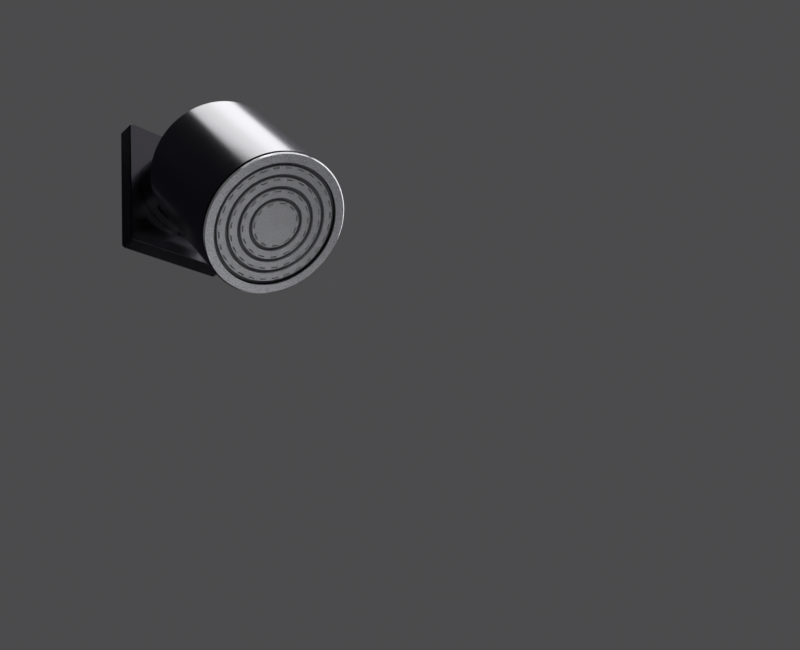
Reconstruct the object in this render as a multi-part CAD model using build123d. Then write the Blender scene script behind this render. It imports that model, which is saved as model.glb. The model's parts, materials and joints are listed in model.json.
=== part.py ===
from build123d import *
import math
import os

# Wall-mounted shower head: a tilted cylinder on a swivelling, hinged arm in front of a rectangular plate.
# Millimetres and degrees. The wall is the plane y = 0, the room is towards -Y and +Z is up.
# The origin is the mouth of the inlet thread, at the middle of the plate's back.

# Clearances
fit_gap = 0.1          # between pieces that are screwed or pushed together
running_gap = 0.05     # between pieces that turn on each other
tapped_gap = 0.02      # between a screw or pressed pin and its hole
pocket_gap = 0.6       # around the eye inside the rear cover's pocket

# Wall plate and its gasket
plate_width = 64.0
plate_height = 83.0
plate_depth = 10.0
plate_wall = 2.5
plate_corner_radius = 2.0
plate_edge_bevel = 0.5
gasket_width = 1.5
gasket_thickness = 1.5

# Inlet connector and collar nut
thread_radius = 9.5
thread_depth = 12.0
inlet_floor = 2.0
inlet_wall = 1.5
block_side = 34.0
nut_wall = 1.5
nut_lip = 2.5

# Swivelling arm with its seal and eye
arm_radius = 8.0
arm_collar_width = 2.0
arm_collar_thickness = 2.5
arm_seal_width = 4.0
arm_seal_thickness = 1.5
friction_washer_thickness = 1.0
water_radius = 4.0
eye_radius = 9.5
eye_width = 17.0
pivot_reach = 47.7     # from the wall to the tilt axis

# Sleeve on the arm
sleeve_radius = 26.0
sleeve_wall = 2.0
sleeve_hub_wall = 3.0
sleeve_hub_length = 8.0
sleeve_edge_bevel = 0.5
sleeve_gap = 0.3       # to the plate, which it turns in front of
sleeve_eye_gap = 2.0
head_clearance = 1.0   # between the sleeve and the head at its steepest tilt
steeper_tilt = 12.0    # how much further down the head tilts than at rest

# Hinge
pin_radius = 3.5
pin_bore_radius = 2.0
pin_port_radius = 1.5
plug_length = 3.0
plug_socket_radius = 1.1
plug_socket_depth = 1.8
hinge_seal_width = 2.5
hinge_seal_thickness = 1.0
lug_thickness = 7.0
lug_radius = 8.0
pocket_wall = 3.0

# Head shell and rear cover
head_radius = 40.0
head_length = 80.4
head_tilt = 54.8       # of the spray axis below the horizontal
back_offset = 5.4      # from the tilt axis to the shell's rear end
shell_wall = 2.5
shell_edge_bevel = 0.4
cover_recess = 0.6
cover_thickness = 4.0

# Face ring and spray plate
ring_width = 5.3       # of the front ring's flat, from the head's side to the spray face
ring_lip = 1.0
ring_edge_bevel = 0.3
shadow_gap = 1.2
spigot_length = 8.0
land_count = 4
land_pitch = 6.5
groove_width = 2.1
groove_depth = 1.7
land_recess = 0.8
spray_base = 2.0
spray_seat_width = 1.2
nozzle_edge = 1.0      # from a land's outer edge to the middle of its nozzle row
nozzle_width = 0.9
nozzle_pitch = 1.45
jets_per_group = 3
group_pitch = 7.1
nozzle_phase = 4.0

# Water chamber and what feeds it
chamber_gasket_thickness = 1.0
chamber_rim = 3.3
chamber_depth = 7.0
chamber_floor = 2.5
chamber_port_radius = 3.0
tube_radius = 5.0
tube_wall = 1.0
tube_socket_depth = 4.0
socket_wall = 2.0
tube_seal_thickness = 1.0
tube_seal_width = 1.5
filter_thickness = 1.2
filter_opening = 1.6
filter_bar = 0.6
filter_cells = 3
regulator_thickness = 3.5
regulator_orifice_radius = 1.5
regulator_hold = 5.0   # how far the tube reaches into the chamber's inlet boss

# Stations along the inlet axis, counted from the wall into the room
plate_seat = plate_depth - plate_wall
cavity_floor = thread_depth + inlet_floor
arm_start = cavity_floor + arm_seal_thickness + running_gap
collar_end = arm_start + arm_collar_thickness
washer_back = collar_end + running_gap
neck_end = washer_back + friction_washer_thickness
collar_radius = arm_radius + arm_collar_width
cavity_radius = collar_radius + running_gap
neck_radius = max(thread_radius, cavity_radius) + inlet_wall
sleeve_start = plate_depth + sleeve_gap
sleeve_end = pivot_reach - eye_radius - sleeve_eye_gap

# Stations along the spray axis, counted from the tilt axis towards the face
cover_back = back_offset + cover_recess
cover_front = cover_back + cover_thickness
pocket_floor = eye_radius + pocket_gap
block_front = pocket_floor + pocket_wall
face_front = back_offset + head_length
ring_back = face_front - ring_lip
shell_front = ring_back - shadow_gap
land_top = face_front - land_recess
groove_floor = land_top - groove_depth
spray_back = groove_floor - spray_base
chamber_front = spray_back - chamber_gasket_thickness
chamber_ceiling = chamber_front - chamber_depth
chamber_back = chamber_ceiling - chamber_floor
regulator_back = chamber_back - regulator_thickness
filter_back = regulator_back - filter_thickness
tube_end = filter_back - tube_seal_thickness
boss_back = tube_end - regulator_hold

# Radii and widths that follow from the ones above
shell_inner = head_radius - shell_wall
cover_radius = shell_inner - fit_gap
ring_inner = head_radius - ring_width
outer_land = ring_inner - groove_width
land_outer = [outer_land - land_pitch * step for step in reversed(range(land_count))]
spray_radius = ring_inner + spray_seat_width
ring_bore = spray_radius + fit_gap
chamber_inner = spray_radius - chamber_rim
eye_side = eye_width / 2
seal_side = eye_side + running_gap
lug_inner = seal_side + hinge_seal_thickness
lug_outer = lug_inner + lug_thickness
passage_offset = lug_inner + lug_thickness / 2
boss_bore = tube_radius + fit_gap
boss_radius = boss_bore + socket_wall

wall_frame = Plane(origin=(0, 0, 0), x_dir=(1, 0, 0), z_dir=(0, -1, 0))
tilt = math.radians(head_tilt)
head_frame = Plane(
    origin=(0, -pivot_reach, 0),
    x_dir=(1, 0, 0),
    z_dir=(0, -math.cos(tilt), -math.sin(tilt)),
)
steepest = math.radians(head_tilt + steeper_tilt)
steepest_head = Plane(
    origin=(0, 0, pivot_reach),
    x_dir=(1, 0, 0),
    z_dir=(0, -math.sin(steepest), math.cos(steepest)),
)


def disc(radius, start, end, at=(0, 0)):
    """A plain round solid along Z, from one station to another."""
    return extrude(Plane.XY.offset(start) * Pos(*at) * Circle(radius), end - start)


def ring(outer, inner, start, end, at=(0, 0)):
    """A flat-ended ring along Z, from one station to another."""
    return extrude(Plane.XY.offset(start) * Pos(*at) * (Circle(outer) - Circle(inner)), end - start)


def turned(corners):
    """A solid turned about Z from its corners, each a radius and a station."""
    return revolve(Plane.XZ * make_face(Polyline(*corners, close=True)), Axis.Z)


def cross_rod(radius, left, right):
    """A round solid along X, on the tilt axis, from one side station to another."""
    return extrude(Plane.YZ.offset(left) * Circle(radius), right - left)


def slab(width, height, start, end, corner=0.0):
    """A rectangular solid on the Z axis, from one station to another."""
    outline = RectangleRounded(width, height, corner) if corner > 0 else Rectangle(width, height)
    return extrude(Plane.XY.offset(start) * outline, end - start)


def make_wall_plate():
    """The cover plate: a shallow box, open at the wall, with a rebate for its gasket."""
    plate = slab(plate_width, plate_height, 0, plate_depth, plate_corner_radius)
    front_edges = plate.faces().sort_by(Axis.Z)[-1].edges()
    plate = chamfer(front_edges, plate_edge_bevel)
    plate -= slab(plate_width - 2 * plate_wall, plate_height - 2 * plate_wall, 0, plate_seat)
    rebate = 2 * (plate_wall - gasket_width)
    plate -= slab(plate_width - rebate, plate_height - rebate, 0, gasket_thickness)
    return plate - disc(neck_radius + fit_gap, plate_seat, plate_depth)


def make_wall_gasket():
    """The frame-shaped seal in the plate's rebate."""
    rim = 2 * (plate_wall - gasket_width)
    frame = slab(plate_width - rim, plate_height - rim, 0, gasket_thickness)
    return frame - slab(plate_width - 2 * plate_wall, plate_height - 2 * plate_wall, 0, gasket_thickness)


def make_inlet_body():
    """The connector: a square block behind the plate with the pipe thread, and the arm's bearing in front."""
    body = slab(block_side, block_side, 0, plate_seat) + disc(neck_radius, plate_seat, neck_end)
    body -= disc(thread_radius, 0, thread_depth)
    body -= disc(water_radius, thread_depth, cavity_floor)
    return body - disc(cavity_radius, cavity_floor, neck_end)


def make_arm_seal():
    """The flat seal on the floor of the connector's bearing."""
    return ring(collar_radius, collar_radius - arm_seal_width, cavity_floor, cavity_floor + arm_seal_thickness)


def make_friction_washer():
    """The washer between the arm's collar and the nut, which keeps the arm where it is turned to."""
    return ring(collar_radius, arm_radius + running_gap, washer_back, neck_end)


def make_collar_nut():
    """The hexagon nut that clamps the plate and keeps the arm's collar in its bearing."""
    hexagon = RegularPolygon(neck_radius + nut_wall, 6, major_radius=False)
    nut = extrude(Plane.XY.offset(plate_depth) * hexagon, neck_end + nut_lip - plate_depth)
    nut -= disc(neck_radius + tapped_gap, plate_depth, neck_end)
    return nut - disc(arm_radius + running_gap, neck_end, neck_end + nut_lip)


def make_swivel_arm():
    """The hollow arm: a collar in the bearing, a round stub, and the eye on the tilt axis."""
    arm = turned([
        (0, arm_start),
        (collar_radius, arm_start),
        (collar_radius, collar_end),
        (arm_radius, collar_end),
        (arm_radius, pivot_reach),
        (0, pivot_reach),
    ])
    at_pivot = Pos(0, 0, pivot_reach)
    arm += at_pivot * cross_rod(eye_radius, -eye_side, eye_side)
    arm -= disc(water_radius, arm_start, pivot_reach)
    return arm - at_pivot * cross_rod(pin_radius + running_gap, -eye_side, eye_side)


def make_arm_sleeve():
    """The round sleeve that hides the nut, held by its hub on the arm and cut clear of the tilting head."""
    hub_bore = arm_radius + tapped_gap
    hub_radius = arm_radius + sleeve_hub_wall
    inner_radius = sleeve_radius - sleeve_wall
    end_wall = sleeve_end - sleeve_wall
    sleeve = turned([
        (hub_bore, sleeve_end - sleeve_hub_length),
        (hub_radius, sleeve_end - sleeve_hub_length),
        (hub_radius, end_wall),
        (inner_radius, end_wall),
        (inner_radius, sleeve_start),
        (sleeve_radius, sleeve_start),
        (sleeve_radius, sleeve_end - sleeve_edge_bevel),
        (sleeve_radius - sleeve_edge_bevel, sleeve_end),
        (hub_bore, sleeve_end),
    ])
    head_room = disc(head_radius + head_clearance, back_offset - head_clearance, face_front)
    return sleeve - steepest_head.location * head_room


def make_hinge_pin():
    """The hollow pin: a drilled bore, a port inside the eye and a port to the lug's passage."""
    pin = cross_rod(pin_radius, -lug_outer, lug_outer)
    pin -= cross_rod(pin_bore_radius, -pin_port_radius, lug_outer)
    pin -= disc(pin_port_radius, -pin_radius, 0)
    return pin - disc(pin_port_radius, 0, pin_radius, at=(passage_offset, 0))


def make_pin_plug():
    """The set screw that closes the drilled end of the pin."""
    plug = cross_rod(pin_bore_radius - tapped_gap, lug_outer - plug_length, lug_outer)
    socket = Plane.YZ.offset(lug_outer - plug_socket_depth) * RegularPolygon(plug_socket_radius, 6)
    return plug - extrude(socket, plug_socket_depth)


def make_hinge_seals():
    """The two flat seals between the eye and the lugs."""
    seal = cross_rod(pin_radius + tapped_gap + hinge_seal_width, seal_side, lug_inner)
    seal -= cross_rod(pin_radius + tapped_gap, seal_side, lug_inner)
    return [seal, mirror(seal, Plane.YZ)]


def make_rear_cover():
    """The head's back: a disc with a pocket for the eye, two lugs for the pin, and the water passage."""
    cover = disc(cover_radius, cover_back, cover_front)
    pocket_height = 2 * pocket_floor
    socket_end = block_front + tube_socket_depth
    block_width = 2 * (passage_offset + boss_radius)
    cover += slab(block_width, pocket_height + 2 * pocket_wall, cover_back, socket_end)
    lug = Plane.YZ.offset(-lug_outer) * (Circle(lug_radius) + Pos(0, cover_front / 2) * Rectangle(
        2 * lug_radius, cover_front))
    cover += extrude(lug, 2 * lug_outer)
    cover -= slab(2 * lug_inner, pocket_height, -lug_radius, pocket_floor)
    cover -= cross_rod(pin_radius + tapped_gap, -lug_outer, lug_outer)
    cover -= disc(pin_bore_radius, 0, block_front, at=(passage_offset, 0))
    return cover - disc(boss_bore, block_front, socket_end, at=(passage_offset, 0))


def make_head_shell():
    """The tube of the head, which the rear cover and the face ring screw into."""
    return turned([
        (shell_inner, back_offset),
        (head_radius - shell_edge_bevel, back_offset),
        (head_radius, back_offset + shell_edge_bevel),
        (head_radius, shell_front),
        (shell_inner, shell_front),
    ])


def make_face_ring():
    """The front ring: a thin lip over the shadow gap, and a spigot that screws into the shell."""
    spigot_back = shell_front - spigot_length
    return turned([
        (ring_bore, spigot_back),
        (cover_radius, spigot_back),
        (cover_radius, ring_back),
        (head_radius, ring_back),
        (head_radius, face_front - ring_edge_bevel),
        (head_radius - ring_edge_bevel, face_front),
        (ring_inner, face_front),
        (ring_inner, groove_floor),
        (ring_bore, groove_floor),
    ])


def make_spray_plate():
    """The spray face: concentric lands and grooves, with nozzle slots along each land's outer edge."""
    corners = [(0, spray_back), (spray_radius, spray_back), (spray_radius, groove_floor)]
    for step in reversed(range(land_count)):
        corners += [(land_outer[step], groove_floor), (land_outer[step], land_top)]
        if step > 0:
            land_inner = land_outer[step - 1] + groove_width
            corners += [(land_inner, land_top), (land_inner, groove_floor)]
    corners.append((0, land_top))
    slot_length = nozzle_pitch * (jets_per_group - 1) + nozzle_width
    slot = slab(nozzle_width, slot_length, spray_back, land_top)
    slots = []
    for outer in land_outer:
        row_radius = outer - nozzle_edge
        groups = round(2 * math.pi * row_radius / group_pitch)
        slots += [place * slot for place in PolarLocations(row_radius, groups, nozzle_phase)]
    return turned(corners) - slots


def make_chamber_gasket():
    """The flat seal between the chamber's rim and the spray plate."""
    return ring(spray_radius, chamber_inner, chamber_front, spray_back)


def make_water_chamber():
    """The dish behind the spray plate, with the boss that takes the feed tube."""
    chamber = turned([
        (0, chamber_back),
        (spray_radius, chamber_back),
        (spray_radius, chamber_front),
        (chamber_inner, chamber_front),
        (chamber_inner, chamber_ceiling),
        (0, chamber_ceiling),
    ])
    inlet = (passage_offset, 0)
    chamber += Pos(*inlet) * slab(2 * boss_radius, 2 * boss_radius, boss_back, chamber_back)
    chamber -= disc(boss_bore, boss_back, chamber_back, at=inlet)
    return chamber - disc(chamber_port_radius, chamber_back, chamber_ceiling, at=inlet)


def make_feed_tube():
    """The tube from the rear cover's socket to the chamber's inlet boss."""
    return ring(tube_radius, tube_radius - tube_wall, block_front, tube_end, at=(passage_offset, 0))


def make_tube_seal():
    """The seal between the tube's end and the strainer."""
    return ring(tube_radius, tube_radius - tube_seal_width, tube_end, filter_back, at=(passage_offset, 0))


def make_filter_screen():
    """The strainer: a disc with a grid of square openings."""
    screen = disc(tube_radius, filter_back, regulator_back)
    step = filter_opening + filter_bar
    cell = slab(filter_opening, filter_opening, filter_back, regulator_back)
    grid = [place * cell for place in GridLocations(step, step, filter_cells, filter_cells)]
    return Pos(passage_offset, 0) * (screen - grid)


def make_flow_regulator():
    """The flow limiter: a disc with one small orifice."""
    return ring(tube_radius, regulator_orifice_radius, regulator_back, chamber_back, at=(passage_offset, 0))


wall_makers = {
    "wall_plate": make_wall_plate,
    "wall_gasket": make_wall_gasket,
    "inlet_body": make_inlet_body,
    "arm_seal": make_arm_seal,
    "friction_washer": make_friction_washer,
    "collar_nut": make_collar_nut,
    "swivel_arm": make_swivel_arm,
    "arm_sleeve": make_arm_sleeve,
}
head_makers = {
    "hinge_pin": make_hinge_pin,
    "pin_plug": make_pin_plug,
    "hinge_seals": make_hinge_seals,
    "rear_cover": make_rear_cover,
    "head_shell": make_head_shell,
    "feed_tube": make_feed_tube,
    "tube_seal": make_tube_seal,
    "filter_screen": make_filter_screen,
    "flow_regulator": make_flow_regulator,
    "water_chamber": make_water_chamber,
    "chamber_gasket": make_chamber_gasket,
    "spray_plate": make_spray_plate,
    "face_ring": make_face_ring,
}


def solids_in(frame, made):
    """The solids of a node, moved from its own frame into the part's frame."""
    shapes = made if isinstance(made, list) else [made]
    return [frame.location * solid for shape in shapes for solid in shape.solids()]


os.makedirs("parts", exist_ok=True)
for frame, makers in ((wall_frame, wall_makers), (head_frame, head_makers)):
    for name, make in makers.items():
        solids = solids_in(frame, make())
        node = solids[0] if len(solids) == 1 else Compound(children=solids)
        export_step(node, f"parts/{name}.step")
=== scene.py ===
import json
import math

import bmesh
import bpy
from mathutils import Matrix, Quaternion, Vector


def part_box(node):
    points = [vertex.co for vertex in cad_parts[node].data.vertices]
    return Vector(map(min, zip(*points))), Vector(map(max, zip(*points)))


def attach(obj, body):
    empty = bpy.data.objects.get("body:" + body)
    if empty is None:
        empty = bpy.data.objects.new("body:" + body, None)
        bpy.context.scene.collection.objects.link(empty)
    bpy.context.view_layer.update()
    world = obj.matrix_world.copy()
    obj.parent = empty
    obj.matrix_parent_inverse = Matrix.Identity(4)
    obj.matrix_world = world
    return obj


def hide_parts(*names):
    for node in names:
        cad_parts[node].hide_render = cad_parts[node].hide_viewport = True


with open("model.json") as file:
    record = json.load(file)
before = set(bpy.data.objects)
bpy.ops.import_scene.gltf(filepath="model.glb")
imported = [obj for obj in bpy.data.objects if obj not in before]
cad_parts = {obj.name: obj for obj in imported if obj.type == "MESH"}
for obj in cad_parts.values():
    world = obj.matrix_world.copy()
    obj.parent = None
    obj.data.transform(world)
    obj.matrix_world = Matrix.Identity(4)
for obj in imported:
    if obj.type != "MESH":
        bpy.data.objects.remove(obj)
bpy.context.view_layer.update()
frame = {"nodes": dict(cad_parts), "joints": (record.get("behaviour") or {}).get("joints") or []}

nodes = frame["nodes"]
MM = 0.001

# The head's own axes: its origin is on the tilt axis and its third axis points out of the spray face
head_tilt = math.radians(54.8)
tilt_joint = next(joint for joint in frame["joints"] if joint["name"] == "tilt")
pivot = Vector(tilt_joint["pos_m"])
head_right = Vector((1, 0, 0))
head_up = Vector((0, -math.sin(head_tilt), math.cos(head_tilt)))
spray_axis = Vector((0, -math.cos(head_tilt), -math.sin(head_tilt)))
head_place = Matrix.Translation(pivot) @ Matrix((head_right, head_up, spray_axis)).transposed().to_4x4()


def spray_reach(node):
    """How far a node of the head reaches from the tilt axis along the spray axis."""
    return max((vertex.co - pivot).dot(spray_axis) for vertex in nodes[node].data.vertices)


# The head's main sizes
face_reach = spray_reach("face_ring")
shell_front = spray_reach("head_shell")
head_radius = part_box("head_shell")[1].x
head_middle = pivot + spray_axis * (face_reach / 2)

# The sleeve's cut faces the head at its steepest tilt
steepest_tilt = head_tilt + math.radians(tilt_joint["range_deg"][1])
cut_axis = Vector((0, -math.cos(steepest_tilt), -math.sin(steepest_tilt)))

# The wall plate's front and its bevel
plate_front = Vector((0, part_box("wall_plate")[0].y, 0))
plate_inward = Vector((0, 1, 0))
plate_bevel = 0.5 * MM

# The front ring
ring_width = 5.3 * MM
ring_lip = 1.0 * MM
ring_bevel = 0.7 * MM
ring_steps = 144
bevel_segments = 1
sharp_angle = math.radians(30)
level_normal = 0.999
spigot_radius = 37.4 * MM
spigot_bore = 36.0 * MM
spigot_length = 8.0 * MM
ring_inner = head_radius - ring_width
ring_back = face_reach - ring_lip

# The spray face
groove_width = 2.1 * MM
groove_depth = 1.7 * MM
land_recess = 0.8 * MM
land_pitch = 6.5 * MM
land_count = 4
land_top = face_reach - land_recess
groove_floor = land_top - groove_depth
outer_land = ring_inner - groove_width

# The nozzle rows
nozzle_edge = 1.0 * MM
nozzle_width = 0.9 * MM
nozzle_pitch = 1.45 * MM
nozzle_phase = math.radians(4)
group_pitch = 7.1 * MM
jets_per_group = 3
insert_gap = 0.02 * MM
insert_recess = 0.05 * MM
insert_height = 2.5 * MM
jet_rim = 0.27 * MM
jet_depth = 1.2 * MM

# The inlet's pipe thread: the half widths of its ridge's foot and crest are shares of the pitch
thread_radius = 9.5 * MM
thread_crest = 9.32 * MM
thread_pitch = 1.814 * MM
thread_length = 12 * MM
thread_steps = 72
foot_share = 0.42
crest_share = 0.08

# The colours of the finishes, and of the painted shade and painted light
steel_colour = (0.55, 0.545, 0.565)
# The sleeve: a dark satin finish, made darker still as painted shade under the head
sleeve_colour = (0.16, 0.155, 0.17)
plate_colour = (0.3, 0.29, 0.32)
# The plate's bevel is painted darker, as shade that dims its highlight
plate_bevel_shade_colour = (0.035, 0.034, 0.038)
ring_face_colour = (0.6, 0.605, 0.635)
# The lip's smoother finish is real; its paler colour is painted highlight along the edge
ring_lip_colour = (0.72, 0.72, 0.74)
land_colour = (0.6, 0.605, 0.63)
# The groove walls are painted paler, as light falling on them
groove_wall_painted_light_colour = (0.85, 0.85, 0.87)
groove_floor_colour = (0.16, 0.16, 0.17)
# Near-black painted shade, for the shadow gap and the sleeve's cut faces
painted_shade_colour = (0.004, 0.004, 0.004)
brass_colour = (0.72, 0.5, 0.24)
turned_colour = (0.58, 0.58, 0.59)
white_colour = (0.75, 0.75, 0.73)
rubber_colour = (0.03, 0.03, 0.03)
silicone_colour = (0.6, 0.6, 0.61)

# How rough and how metallic the finishes are
steel_roughness = 0.21
sleeve_roughness = 0.24
plate_roughness = 0.24
ring_face_roughness = 0.34
ring_lip_roughness = 0.18
spray_roughness = 0.36
# Roughness of the painted shade
painted_shade_roughness = 0.9
brass_roughness = 0.33
turned_roughness = 0.25
plastic_roughness = 0.5
rubber_roughness = 0.65
land_metallic = 0.85
groove_metallic = 0.1

# The grain of each metal: speckles to the metre, depth of the speckle, depth of the slow tone
grain_inputs = ("Speckle Scale", "Speckle Depth", "Tone Depth")
steel_grain = (2600.0, 0.03, 0.05)
plate_grain = (2600.0, 0.03, 0.08)
ring_grain = (1300.0, 0.3, 0.06)
spray_grain = (1500.0, 0.16, 0.06)
brass_grain = (1800.0, 0.06, 0.1)
turned_grain = (2200.0, 0.04, 0.08)

# The grain of each moulded finish: grains to the metre, depth of the tone
white_grain = (1400.0, 0.05)
rubber_grain = (1800.0, 0.2)
silicone_grain = (1800.0, 0.06)

# The noises behind the grains: their scale to the metre, and their detail
speckle_detail = 3.0
speckle_harshness = 0.65
cloud_scale = 45.0
cloud_detail = 3.0
fine_scale = 5200.0
fine_detail = 2.0
moulded_tone_scale = 90.0
moulded_tone_detail = 3.0
moulded_grain_detail = 2.0
moulded_gloss_change = 0.06

# The relief of the grains: its height, and its strength on each finish
grain_height = 0.05 * MM
brass_relief = 0.06
turned_relief = 0.04
spray_relief = 0.15
moulded_relief = 0.2

# The range of a mask, and the part of a noise's range that it mostly keeps to
mask_range = (0.0, 1.0)
noise_range = (0.3, 0.7)

# Where a finish, a painted shade or a painted light starts and where it is complete
# The shell's last 0.8 mm is painted black: shade in the shadow gap, which makes the gap look wider
shell_gap_shade_start = shell_front - 0.8 * MM
shell_gap_shade_range = (shell_gap_shade_start, shell_gap_shade_start + 0.04 * MM)
sleeve_cut_shade_range = (0.95, 0.99)
ring_face_range = (face_reach - 0.15 * ring_bevel, face_reach - 0.03 * ring_bevel)
ring_gap_shade_range = (ring_back - 0.05 * MM, ring_back + 0.02 * MM)
groove_wall_range = (groove_floor + 0.1 * MM, groove_floor + 0.5 * MM)
land_range = (land_top - 0.1 * MM, land_top - 0.02 * MM)
bevel_start_range = (0.01 * MM, 0.03 * MM)
bevel_end_range = (plate_bevel, plate_bevel + 0.02 * MM)

# The camera, fitted to the photograph
camera_place = (-0.30238, -0.44486, -0.37761)
camera_yaw = 0.8377
camera_pitch = 0.4816
camera_roll = -0.1467
focal_pixels = 1052.4
image_width = 800
sensor_width = 36.0

# The studio
floor_height = -0.62
floor_half = 6.0
floor_behind = 0.3
floor_colour = (0.7, 0.7, 0.7)
floor_roughness = 0.8
floor_tone = (0.98, 1.02)
floor_tone_scale = 3.0
floor_tone_detail = 2.0
backdrop_grey = (0.0704, 0.0695, 0.0723)
lit_side = Vector((0.7, -0.35, 0.62)).normalized()
lit_range = (0.35, 0.95)
dark_room = (0.005, 0.0048, 0.0068)
lit_room = (0.138, 0.136, 0.148)


def feed(tree, value, socket):
    """Links a node's output to a socket, or sets a plain value on it."""
    if isinstance(value, bpy.types.NodeSocket):
        tree.links.new(value, socket)
    elif socket.type == "RGBA":
        socket.default_value = (*value, 1.0)
    else:
        socket.default_value = value


def noise(tree, vector, scale, detail, harshness=0.5):
    """A noise texture on the given coordinates; its harshness is the weight of its finer detail."""
    texture = tree.nodes.new("ShaderNodeTexNoise")
    feed(tree, vector, texture.inputs["Vector"])
    feed(tree, scale, texture.inputs["Scale"])
    feed(tree, detail, texture.inputs["Detail"])
    feed(tree, harshness, texture.inputs["Roughness"])
    return texture.outputs["Fac"]


def calculate(tree, operation, first, second):
    """A sum, difference or product of two values."""
    node = tree.nodes.new("ShaderNodeMath")
    node.operation = operation
    feed(tree, first, node.inputs[0])
    feed(tree, second, node.inputs[1])
    return node.outputs[0]


def rise(tree, value, span, low=0.0, high=1.0):
    """Goes from low to high while the value goes through the span."""
    start, end = span
    step = tree.nodes.new("ShaderNodeMapRange")
    for name, bound in (("From Min", start), ("From Max", end), ("To Min", low), ("To Max", high)):
        feed(tree, bound, step.inputs[name])
    feed(tree, value, step.inputs["Value"])
    return step.outputs["Result"]


def along(tree, vector, origin, axis):
    """How far a vector reaches from an origin along an axis."""
    from_origin = tree.nodes.new("ShaderNodeVectorMath")
    from_origin.operation = "SUBTRACT"
    feed(tree, vector, from_origin.inputs[0])
    feed(tree, origin, from_origin.inputs[1])
    reach = tree.nodes.new("ShaderNodeVectorMath")
    reach.operation = "DOT_PRODUCT"
    feed(tree, from_origin.outputs[0], reach.inputs[0])
    feed(tree, axis, reach.inputs[1])
    return reach.outputs["Value"]


def tinted(tree, colour, strength):
    """A colour made lighter or darker by a value that changes over the surface."""
    scale = tree.nodes.new("ShaderNodeVectorMath")
    scale.operation = "SCALE"
    feed(tree, colour, scale.inputs[0])
    feed(tree, strength, scale.inputs["Scale"])
    return scale.outputs[0]


def blend(tree, share, first, second):
    """A colour between two others."""
    mix = tree.nodes.new("ShaderNodeMix")
    mix.data_type = "RGBA"
    feed(tree, share, mix.inputs["Factor"])
    for name, colour in (("A", first), ("B", second)):
        socket = next(slot for slot in mix.inputs if slot.name == name and slot.type == "RGBA")
        feed(tree, colour, socket)
    return next(slot for slot in mix.outputs if slot.type == "RGBA")


def bump(tree, shader, height, strength):
    """Raises the surface by a grain's height, through the shader's normal."""
    raised = tree.nodes.new("ShaderNodeBump")
    feed(tree, strength, raised.inputs["Strength"])
    feed(tree, grain_height, raised.inputs["Distance"])
    feed(tree, height, raised.inputs["Height"])
    feed(tree, raised.outputs["Normal"], shader.inputs["Normal"])


def make_satin_group():
    """The grain of satin metal: fine speckle, slow changes of tone, and the height of the grain."""
    group = bpy.data.node_groups.new("satin_grain", "ShaderNodeTree")
    group.interface.new_socket("Vector", in_out="INPUT", socket_type="NodeSocketVector")
    for name in grain_inputs:
        group.interface.new_socket(name, in_out="INPUT", socket_type="NodeSocketFloat")
    for name in ("Tone", "Speckle", "Height"):
        group.interface.new_socket(name, in_out="OUTPUT", socket_type="NodeSocketFloat")
    given = group.nodes.new("NodeGroupInput").outputs
    result = group.nodes.new("NodeGroupOutput").inputs

    def around_one(value, depth):
        """A noise spread over one, plus or minus the depth."""
        low = calculate(group, "SUBTRACT", 1.0, depth)
        high = calculate(group, "ADD", 1.0, depth)
        return rise(group, value, noise_range, low, high)

    clouds = noise(group, given["Vector"], cloud_scale, cloud_detail)
    speckle = noise(group, given["Vector"], given["Speckle Scale"], speckle_detail, speckle_harshness)
    feed(group, around_one(clouds, given["Tone Depth"]), result["Tone"])
    feed(group, around_one(speckle, given["Speckle Depth"]), result["Speckle"])
    feed(group, noise(group, given["Vector"], fine_scale, fine_detail), result["Height"])
    return group


satin_group = make_satin_group()


def new_material(name):
    """A fresh material, its node tree, its shader and the object's own coordinates."""
    material = bpy.data.materials.new(name)
    material.use_nodes = True
    tree = material.node_tree
    coordinates = tree.nodes.new("ShaderNodeTexCoord").outputs["Object"]
    return material, tree, tree.nodes["Principled BSDF"], coordinates


def satin(tree, coordinates, grain):
    """The outputs of the satin group with a metal's own grain."""
    node = tree.nodes.new("ShaderNodeGroup")
    node.node_tree = satin_group
    feed(tree, coordinates, node.inputs["Vector"])
    for name, value in zip(grain_inputs, grain):
        feed(tree, value, node.inputs[name])
    return node.outputs


def make_metal(name, colour, roughness, grain, relief=0.0):
    """A satin metal: its speckle shades the colour, its slow tone moves the gloss."""
    material, tree, shader, coordinates = new_material(name)
    surface = satin(tree, coordinates, grain)
    feed(tree, 1.0, shader.inputs["Metallic"])
    feed(tree, tinted(tree, colour, surface["Speckle"]), shader.inputs["Base Color"])
    feed(tree, calculate(tree, "MULTIPLY", surface["Tone"], roughness), shader.inputs["Roughness"])
    if relief:
        bump(tree, shader, surface["Height"], relief)
    return material


def make_steel_with_painted_shade(name, colour, roughness, measure, origin, axis, span):
    """Satin steel with painted shade: it turns black where its place or its normal passes a span along
    an axis.
    """
    material, tree, shader, coordinates = new_material(name)
    surface = satin(tree, coordinates, steel_grain)
    end = rise(tree, along(tree, coordinates.node.outputs[measure], origin, axis), span)
    metal = tinted(tree, colour, surface["Speckle"])
    gloss = rise(tree, end, mask_range, roughness, painted_shade_roughness)
    feed(tree, blend(tree, end, metal, painted_shade_colour), shader.inputs["Base Color"])
    feed(tree, rise(tree, end, mask_range, 1.0, 0.0), shader.inputs["Metallic"])
    feed(tree, calculate(tree, "MULTIPLY", surface["Tone"], gloss), shader.inputs["Roughness"])
    return material


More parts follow.
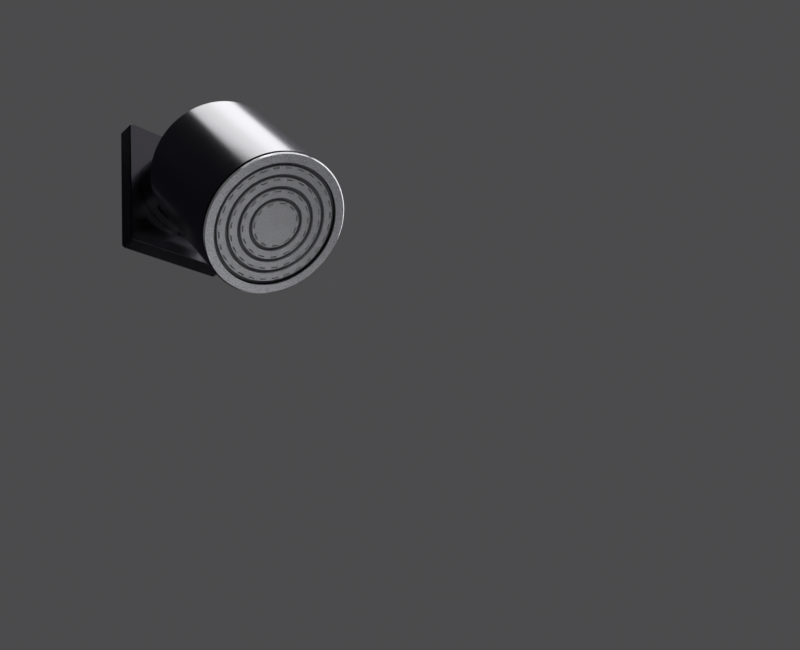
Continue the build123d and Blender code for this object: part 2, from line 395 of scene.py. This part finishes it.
def make_ring_steel():
    """The front ring: a blasted face, a smoother lip with a painted highlight in its paler colour, and
    painted shade in the root of the shadow gap.
    """
    material, tree, shader, coordinates = new_material("ring_steel")
    surface = satin(tree, coordinates, ring_grain)
    reach = along(tree, coordinates, pivot, spray_axis)
    face = rise(tree, reach, ring_face_range)
    # The lip mask is zero in the root of the shadow gap, which gets painted shade
    lip = rise(tree, reach, ring_gap_shade_range)
    metal = blend(tree, face, ring_lip_colour, tinted(tree, ring_face_colour, surface["Speckle"]))
    metal_gloss = rise(tree, face, mask_range, ring_lip_roughness, ring_face_roughness)
    gloss = rise(tree, lip, mask_range, painted_shade_roughness, metal_gloss)
    feed(tree, blend(tree, lip, painted_shade_colour, metal), shader.inputs["Base Color"])
    feed(tree, lip, shader.inputs["Metallic"])
    feed(tree, calculate(tree, "MULTIPLY", surface["Tone"], gloss), shader.inputs["Roughness"])
    return material


def make_dark_satin_plate():
    """The wall plate: dark satin metal with painted shade on the bevel round its front, which dims the
    bevel's highlight.
    """
    material, tree, shader, coordinates = new_material("dark_satin_plate")
    surface = satin(tree, coordinates, plate_grain)
    depth = along(tree, coordinates, plate_front, plate_inward)
    behind_front = rise(tree, depth, bevel_start_range)
    before_side = rise(tree, depth, bevel_end_range, 1.0, 0.0)
    # The bevel round the front gets painted shade
    bevel = calculate(tree, "MULTIPLY", behind_front, before_side)
    metal = blend(tree, bevel, plate_colour, plate_bevel_shade_colour)
    feed(tree, 1.0, shader.inputs["Metallic"])
    feed(tree, tinted(tree, metal, surface["Speckle"]), shader.inputs["Base Color"])
    feed(tree, calculate(tree, "MULTIPLY", surface["Tone"], plate_roughness), shader.inputs["Roughness"])
    return material


def make_spray_metal():
    """The spray face: blasted metal lands, groove walls painted paler as light falling on them, and dark
    groove floors.
    """
    material, tree, shader, coordinates = new_material("spray_metal")
    surface = satin(tree, coordinates, spray_grain)
    reach = along(tree, coordinates, pivot, spray_axis)
    wall = rise(tree, reach, groove_wall_range)
    land = rise(tree, reach, land_range)
    metal = tinted(tree, blend(tree, land, groove_wall_painted_light_colour, land_colour), surface["Speckle"])
    feed(tree, blend(tree, wall, groove_floor_colour, metal), shader.inputs["Base Color"])
    feed(tree, rise(tree, land, mask_range, groove_metallic, land_metallic), shader.inputs["Metallic"])
    feed(tree, calculate(tree, "MULTIPLY", surface["Tone"], spray_roughness), shader.inputs["Roughness"])
    bump(tree, shader, surface["Height"], spray_relief)
    return material


def make_moulded(name, colour, roughness, moulded_grain):
    """Rubber or plastic with a fine moulded grain and slight changes of tone."""
    material, tree, shader, coordinates = new_material(name)
    grain_scale, depth = moulded_grain
    clouds = noise(tree, coordinates, moulded_tone_scale, moulded_tone_detail)
    tone = rise(tree, clouds, noise_range, 1.0 - depth, 1.0 + depth)
    grain = noise(tree, coordinates, grain_scale, moulded_grain_detail)
    low, high = roughness - moulded_gloss_change, roughness + moulded_gloss_change
    feed(tree, tinted(tree, colour, tone), shader.inputs["Base Color"])
    feed(tree, rise(tree, grain, noise_range, low, high), shader.inputs["Roughness"])
    bump(tree, shader, grain, moulded_relief)
    return material


def dress(material, *names):
    """Gives CAD nodes a material."""
    for name in names:
        mesh = nodes[name].data
        mesh.materials.clear()
        mesh.materials.append(material)


satin_steel = make_metal("satin_steel", steel_colour, steel_roughness, steel_grain)
# The shell: satin steel with painted shade on its end in the shadow gap
shell_steel = make_steel_with_painted_shade(
    "shell_steel", steel_colour, steel_roughness, "Object", pivot, spray_axis, shell_gap_shade_range
)
# The sleeve: its cut faces are painted black as shade
sleeve_steel = make_steel_with_painted_shade(
    "sleeve_steel", sleeve_colour, sleeve_roughness, "Normal", Vector(), cut_axis, sleeve_cut_shade_range
)
ring_steel = make_ring_steel()
dark_satin_plate = make_dark_satin_plate()
spray_metal = make_spray_metal()
machined_brass = make_metal("machined_brass", brass_colour, brass_roughness, brass_grain, brass_relief)
turned_steel = make_metal("turned_steel", turned_colour, turned_roughness, turned_grain, turned_relief)
white_moulding = make_moulded("white_moulding", white_colour, plastic_roughness, white_grain)
black_rubber = make_moulded("black_rubber", rubber_colour, rubber_roughness, rubber_grain)
pale_silicone = make_moulded("pale_silicone", silicone_colour, plastic_roughness, silicone_grain)

dress(satin_steel, "rear_cover", "swivel_arm", "collar_nut")
dress(shell_steel, "head_shell")
dress(sleeve_steel, "arm_sleeve")
dress(dark_satin_plate, "wall_plate")
dress(spray_metal, "spray_plate")
dress(machined_brass, "inlet_body")
dress(turned_steel, "hinge_pin", "pin_plug", "filter_screen")
dress(white_moulding, "water_chamber", "feed_tube", "flow_regulator", "friction_washer")
dress(black_rubber, "wall_gasket", "arm_seal", "hinge_seals", "tube_seal", "chamber_gasket")


def new_object(name, bm, material):
    """An object from a finished bmesh, with its place in its mesh."""
    mesh = bpy.data.meshes.new(name)
    bm.to_mesh(mesh)
    bm.free()
    mesh.materials.append(material)
    thing = bpy.data.objects.new(name, mesh)
    bpy.context.scene.collection.objects.link(thing)
    return thing


def new_piece(name, bm, material, body):
    """A piece of the shower head that rides on a body."""
    piece = new_object(name, bm, material)
    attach(piece, body)
    return piece


def make_front_ring():
    """The front ring, turned from its profile, with the wide bevel that catches the light."""
    spigot_back = shell_front - spigot_length
    profile = (
        (spigot_bore, spigot_back),
        (spigot_radius, spigot_back),
        (spigot_radius, ring_back),
        (head_radius, ring_back),
        (head_radius, face_reach),
        (ring_inner, face_reach),
        (ring_inner, groove_floor),
        (spigot_bore, groove_floor),
    )
    bm = bmesh.new()
    corners = [bm.verts.new((radius, 0, station)) for radius, station in profile]
    outline = [bm.edges.new((corners[step - 1], corners[step])) for step in range(len(corners))]
    bmesh.ops.spin(
        bm,
        geom=corners + outline,
        axis=(0, 0, 1),
        cent=(0, 0, 0),
        angle=2 * math.pi,
        steps=ring_steps,
        use_merge=True,
        use_duplicate=False,
    )
    outer = (head_radius + ring_inner) / 2
    front = (face_reach + ring_back) / 2
    rim = [
        edge for edge in bm.edges
        if all(vert.co.z > front and vert.co.xy.length > outer for vert in edge.verts)
    ]
    bmesh.ops.bevel(
        bm,
        geom=rim,
        offset=ring_bevel,
        affect="EDGES",
        segments=bevel_segments,
        profile=0.5,
        material=-1,
    )
    bmesh.ops.recalc_face_normals(bm, faces=bm.faces)
    for face in bm.faces:
        face.smooth = abs(face.normal.z) < level_normal
    for edge in bm.edges:
        edge.smooth = edge.calc_face_angle(0.0) < sharp_angle
    bmesh.ops.transform(bm, matrix=head_place, verts=bm.verts)
    piece = new_piece("front_ring", bm, ring_steel, "head")
    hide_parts("face_ring")


def nozzle_places():
    """Where the groups of jet holes sit: on each land, along its outer edge."""
    for step in range(land_count):
        row_radius = outer_land - land_pitch * step - nozzle_edge
        groups = round(2 * math.pi * row_radius / group_pitch)
        for group in range(groups):
            turn = Matrix.Rotation(nozzle_phase + 2 * math.pi * group / groups, 4, "Z")
            yield head_place @ turn @ Matrix.Translation((row_radius, 0, land_top - insert_recess))


def make_nozzle_inserts():
    """The silicone inserts in the nozzle slots, each with its row of jet holes."""
    half_width = nozzle_width / 2 - insert_gap
    half_length = (nozzle_pitch * (jets_per_group - 1) + nozzle_width) / 2 - insert_gap
    size = Matrix.Diagonal((half_width, half_length, 1, 1))
    bm = bmesh.new()
    for place in nozzle_places():
        bmesh.ops.create_grid(bm, x_segments=1, y_segments=jets_per_group, size=1, matrix=place @ size)
    rim = [edge for edge in bm.edges if edge.is_boundary]
    tops = bm.faces[:]
    skirt = bmesh.ops.extrude_edge_only(bm, edges=rim)["geom"]
    skirt_verts = [item for item in skirt if isinstance(item, bmesh.types.BMVert)]
    bmesh.ops.translate(bm, verts=skirt_verts, vec=-insert_height * spray_axis)
    bmesh.ops.inset_individual(bm, faces=tops, thickness=jet_rim)
    pits = bmesh.ops.extrude_discrete_faces(bm, faces=tops)["faces"]
    pit_verts = {vert for face in pits for vert in face.verts}
    bmesh.ops.translate(bm, verts=list(pit_verts), vec=-jet_depth * spray_axis)
    bmesh.ops.recalc_face_normals(bm, faces=bm.faces)
    new_piece("nozzle_inserts", bm, pale_silicone, "head")


def make_thread_ridge():
    """The pipe thread's ridge, wound along the inlet's bore."""
    turns = thread_length / thread_pitch - 1
    steps = round(turns * thread_steps)
    start = -thread_pitch / 2
    profile = (
        (thread_radius, foot_share),
        (thread_crest, crest_share),
        (thread_crest, -crest_share),
        (thread_radius, -foot_share),
    )
    bm = bmesh.new()
    corners = [bm.verts.new((radius, start + share * thread_pitch, 0)) for radius, share in profile]
    section = bm.faces.new(corners)
    bmesh.ops.spin(
        bm,
        geom=[section],
        axis=(0, 1, 0),
        cent=(0, 0, 0),
        dvec=(0, -turns * thread_pitch / steps, 0),
        angle=2 * math.pi * turns,
        steps=steps,
        use_merge=False,
        use_duplicate=False,
    )
    bmesh.ops.recalc_face_normals(bm, faces=bm.faces)
    new_piece("inlet_thread_ridge", bm, machined_brass, "wall_mount")


make_front_ring()
make_nozzle_inserts()
make_thread_ridge()


def make_floor():
    """The plain pale floor below the camera, from just behind the wall plate forwards."""
    material, tree, shader, coordinates = new_material("pale_floor")
    clouds = noise(tree, coordinates, floor_tone_scale, floor_tone_detail)
    tone = rise(tree, clouds, noise_range, *floor_tone)
    feed(tree, tinted(tree, floor_colour, tone), shader.inputs["Base Color"])
    feed(tree, floor_roughness, shader.inputs["Roughness"])
    bm = bmesh.new()
    place = Matrix.Translation((0, floor_behind - floor_half, floor_height))
    bmesh.ops.create_grid(bm, x_segments=1, y_segments=1, size=floor_half, matrix=place)
    floor = new_object("floor", bm, material)


def make_world():
    """A plain grey backdrop, and a dim room that is paler on the right."""
    world = bpy.data.worlds.new("studio")
    bpy.context.scene.world = world
    world.use_nodes = True
    tree = world.node_tree
    room = tree.nodes["Background"]
    direction = tree.nodes.new("ShaderNodeTexCoord").outputs["Generated"]
    level = rise(tree, along(tree, direction, Vector(), lit_side), lit_range)
    level.node.interpolation_type = "SMOOTHSTEP"
    feed(tree, blend(tree, level, dark_room, lit_room), room.inputs["Color"])
    backdrop = tree.nodes.new("ShaderNodeBackground")
    feed(tree, backdrop_grey, backdrop.inputs["Color"])
    choice = tree.nodes.new("ShaderNodeMixShader")
    seen = tree.nodes.new("ShaderNodeLightPath").outputs["Is Camera Ray"]
    feed(tree, seen, choice.inputs["Fac"])
    feed(tree, room.outputs[0], choice.inputs[1])
    feed(tree, backdrop.outputs[0], choice.inputs[2])
    feed(tree, choice.outputs[0], tree.nodes["World Output"].inputs["Surface"])


def make_softbox(name, place, width, height, level, target=head_middle, roll=0.0):
    """An area light that faces the target and is as bright as its level, whatever its size."""
    lamp = bpy.data.lights.new(name, "AREA")
    lamp.shape = "RECTANGLE"
    lamp.size = width
    lamp.size_y = height
    lamp.energy = level * math.pi * width * height
    light = bpy.data.objects.new(name, lamp)
    light.location = place
    facing = (Vector(target) - Vector(place)).to_track_quat("-Z", "Y")
    rolled = facing @ Quaternion((0, 0, 1), math.radians(roll))
    light.rotation_euler = rolled.to_euler()
    light.visible_camera = False
    bpy.context.scene.collection.objects.link(light)


def make_lights():
    """The softboxes over the head, the strips round it, and the fills below and behind it."""
    make_softbox("key_softbox", place=(0.055, -0.04, 0.765), width=0.5, height=0.5, level=1.23)
    make_softbox("key_core", place=(0.146, -0.024, 0.75), width=0.28, height=0.28, level=0.27)
    make_softbox("side_strip", place=(0.85, 0.05, 0.25), width=0.5, height=0.15, level=1.5)
    make_softbox("corner_strip", place=(0.78, -0.55, 0.29), width=0.8, height=0.13, level=1.5)
    make_softbox("front_strip", place=(0.06, -1.15, 0.22), width=1.1, height=0.1, level=1.5, roll=18.0)
    make_softbox("left_strip", place=(-0.42, -1.01, -0.06), width=0.62, height=0.1, level=1.5, roll=28.0)
    make_softbox("left_card", place=(-0.7, -0.52, -0.37), width=0.4, height=0.5, level=0.08)
    floor_spot = Vector((0.3, -0.2, floor_height))
    make_softbox(
        "floor_light", place=(0.3, -0.2, -0.42), width=0.15, height=0.15, level=5.3, target=floor_spot
    )
    make_softbox("rear_fill", place=(0, 0.55, 0.9), width=0.6, height=0.6, level=0.18)
    inlet_mouth = Vector((0, 0, 0))
    make_softbox(
        "back_strip", place=(0.36, 1.0, -0.19), width=1.2, height=0.35, level=0.35, target=inlet_mouth
    )


def make_camera():
    """The camera at the photograph's place, turn and lens."""
    flat = math.cos(camera_pitch)
    ahead = Vector((math.sin(camera_yaw) * flat, math.cos(camera_yaw) * flat, math.sin(camera_pitch)))
    level_right = Vector((math.cos(camera_yaw), -math.sin(camera_yaw), 0))
    level_up = level_right.cross(ahead)
    right = math.cos(camera_roll) * level_right + math.sin(camera_roll) * level_up
    up = math.cos(camera_roll) * level_up - math.sin(camera_roll) * level_right
    data = bpy.data.cameras.new("camera")
    data.sensor_width = sensor_width
    data.lens = focal_pixels / image_width * sensor_width
    camera = bpy.data.objects.new("camera", data)
    turn = Matrix((right, up, -ahead)).transposed()
    camera.matrix_world = Matrix.Translation(camera_place) @ turn.to_4x4()
    bpy.context.scene.collection.objects.link(camera)
    bpy.context.scene.camera = camera


make_floor()
make_world()
make_lights()
make_camera()
bpy.context.scene.view_settings.view_transform = "Standard"
